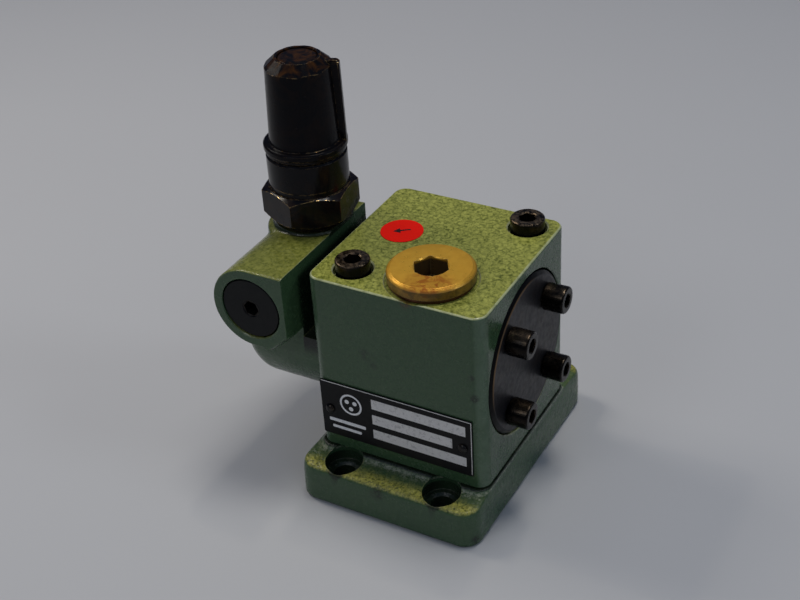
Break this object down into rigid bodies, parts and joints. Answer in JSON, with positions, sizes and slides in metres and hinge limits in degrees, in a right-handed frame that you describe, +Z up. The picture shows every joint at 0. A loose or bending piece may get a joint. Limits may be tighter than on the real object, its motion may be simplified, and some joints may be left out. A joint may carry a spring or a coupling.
{
  "type": "flow control valve",
  "caption": "Block-bodied hydraulic flow control valve on a cast foot, with a side pilot head, ribbed adjusting knob, round end cover and port plug.",
  "frame": {"origin": "centre of the valve block's footprint, on the foot's underside", "axes": "+Z up along the adjusting spindle, -Y towards the nameplate, +X towards the round end cover"},
  "size_m": [0.1174, 0.1038, 0.1607],
  "materials": {
    "foot_paint": "green hammertone paint over a cast surface, worn at the edges",
    "block_paint": "green hammertone paint, mottled",
    "pilot_paint": "green hammertone paint over a cast surface",
    "seal_rubber": "smooth black",
    "screw_steel": "black oxide, lightly oiled",
    "adjuster_black": "glossy black with a brown bloom",
    "black_oxide": "satin black oxide",
    "plug_brass": "turned brass with stains",
    "seal_copper": "dull copper",
    "plate_print": "black print on thin aluminium with bare fields",
    "rivet": "dark domed heads",
    "marker_red": "red label",
    "internal_steel": "ground steel"
  },
  "bodies": {
    "valve": {"base_plate": "foot_paint", "block_screw_front": "screw_steel", "block_screw_rear": "screw_steel", "check_spring": "internal_steel", "compensator_spring": "internal_steel", "cover_o_ring": "seal_rubber", "cover_screw_1": "screw_steel", "cover_screw_2": "screw_steel", "cover_screw_3": "screw_steel", "cover_screw_4": "screw_steel", "end_cover": "black_oxide", "front_plug": "black_oxide", "front_plug_o_ring": "seal_rubber", "gland_nut": "adjuster_black", "gland_washer": "adjuster_black", "joint_o_ring_a": "seal_rubber", "joint_o_ring_b": "seal_rubber", "nameplate": "plate_print", "nameplate_rivet_left": "rivet", "nameplate_rivet_right": "rivet", "pilot_housing": "pilot_paint", "pilot_o_ring": "seal_rubber", "pilot_screw_front": "screw_steel", "pilot_screw_rear": "screw_steel", "pilot_screw_upper": "screw_steel", "port_marker_disc": "marker_red", "port_o_ring_a": "seal_rubber", "port_o_ring_b": "seal_rubber", "spindle_o_ring": "seal_rubber", "throttle_seat": "internal_steel", "top_plug_seal": "seal_copper", "top_port_plug": "plug_brass", "valve_block": "block_paint"},
    "knob": {"adjusting_knob": "adjuster_black", "knob_top_disc": "adjuster_black", "knob_screw": "screw_steel", "adjusting_spindle": "internal_steel"},
    "needle": {"throttle_needle": "internal_steel"},
    "spool": {"compensator_spool": "internal_steel"},
    "check": {"check_poppet": "internal_steel"}
  },
  "joints": [
    {"name": "knob_turn", "type": "hinge", "parent": "valve", "child": "knob", "pos_m": [-0.05405, 0.0011, 0.14], "axis": [0, 0, 1], "range_deg": [0, 1080]},
    {"name": "needle_lift", "type": "slide", "parent": "valve", "child": "needle", "axis": [0, 0, 1], "range_m": [0, 0.0045]},
    {"name": "spool_slide", "type": "slide", "parent": "valve", "child": "spool", "axis": [1, 0, 0], "range_m": [0, 0.005], "stiffness_N_per_m": 3000, "deforming": ["compensator_spring"]},
    {"name": "check_open", "type": "slide", "parent": "valve", "child": "check", "axis": [0, -1, 0], "range_m": [0, 0.004], "stiffness_N_per_m": 800, "deforming": ["check_spring"]}
  ],
  "couplings": [
    {"joint": "needle_lift", "follows": "knob_turn", "m_per_rad": 0.00023873}
  ]
}
